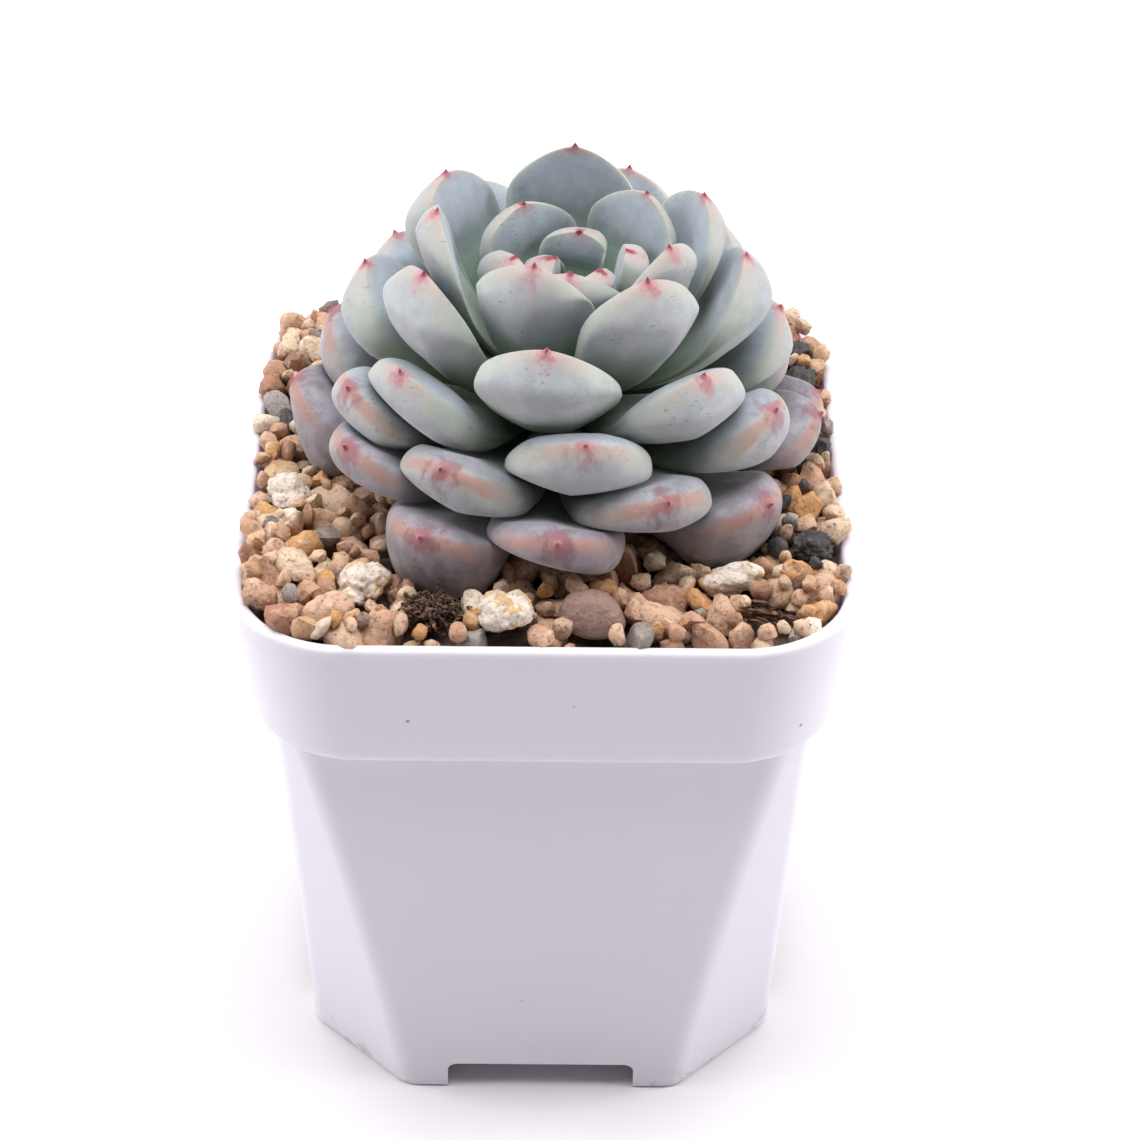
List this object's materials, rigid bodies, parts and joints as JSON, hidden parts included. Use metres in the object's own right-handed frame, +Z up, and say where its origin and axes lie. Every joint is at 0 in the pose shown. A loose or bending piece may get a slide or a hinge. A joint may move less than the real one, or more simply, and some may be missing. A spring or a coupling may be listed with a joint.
{
  "type": "potted succulent",
  "caption": "Rosette succulent with plump blue-green leaves in a square white plastic pot, topdressed with tan and cream gravel.",
  "frame": {"origin": "on the table, under the middle of the pot", "axes": "+Z up, -Y towards the front, +X to the right seen from the front"},
  "size_m": [0.07, 0.07, 0.1065],
  "materials": {
    "white_plastic": "white moulded plastic, satin gloss",
    "soil": "dark potting mix under fine tan gravel",
    "stem": "short fleshy stem, matte",
    "leaf": "glaucous blue-green leaf with a powdery bloom and pink tip",
    "pumice": "cream porous pumice, matte",
    "pebble": "smooth brown stone, matte",
    "lava": "dark porous lava rock, matte",
    "peat": "dark fibrous peat",
    "bark": "dark shredded bark",
    "akadama": "tan baked clay grains, matte"
  },
  "bodies": {
    "root": {"pot": "white_plastic", "soil": "soil", "stem": "stem", "leaf_01": "leaf", "leaf_02": "leaf", "leaf_03": "leaf", "leaf_04": "leaf", "leaf_05": "leaf", "leaf_06": "leaf", "leaf_07": "leaf", "leaf_08": "leaf", "leaf_09": "leaf", "leaf_10": "leaf", "leaf_11": "leaf", "leaf_12": "leaf", "leaf_13": "leaf", "leaf_14": "leaf", "leaf_15": "leaf", "leaf_16": "leaf", "leaf_17": "leaf", "leaf_18": "leaf", "leaf_19": "leaf", "leaf_20": "leaf", "leaf_21": "leaf", "leaf_22": "leaf", "leaf_23": "leaf", "leaf_24": "leaf", "leaf_25": "leaf", "leaf_26": "leaf", "leaf_27": "leaf", "leaf_28": "leaf", "leaf_29": "leaf", "leaf_30": "leaf", "leaf_31": "leaf", "leaf_32": "leaf", "leaf_33": "leaf", "leaf_34": "leaf", "leaf_35": "leaf", "leaf_36": "leaf", "leaf_37": "leaf", "leaf_38": "leaf", "leaf_39": "leaf", "leaf_40": "leaf", "leaf_41": "leaf", "leaf_42": "leaf", "leaf_43": "leaf", "leaf_44": "leaf", "leaf_45": "leaf", "leaf_46": "leaf", "leaf_47": "leaf", "pumice_front": "pumice", "pumice_left": "pumice", "pumice_right": "pumice", "pumice_far_left": "pumice", "brown_pebble": "pebble", "lava_right": "lava", "lava_back_right": "lava", "peat_lump": "peat", "bark_chip": "bark", "flat_chip": "akadama"}
  },
  "joints": []
}
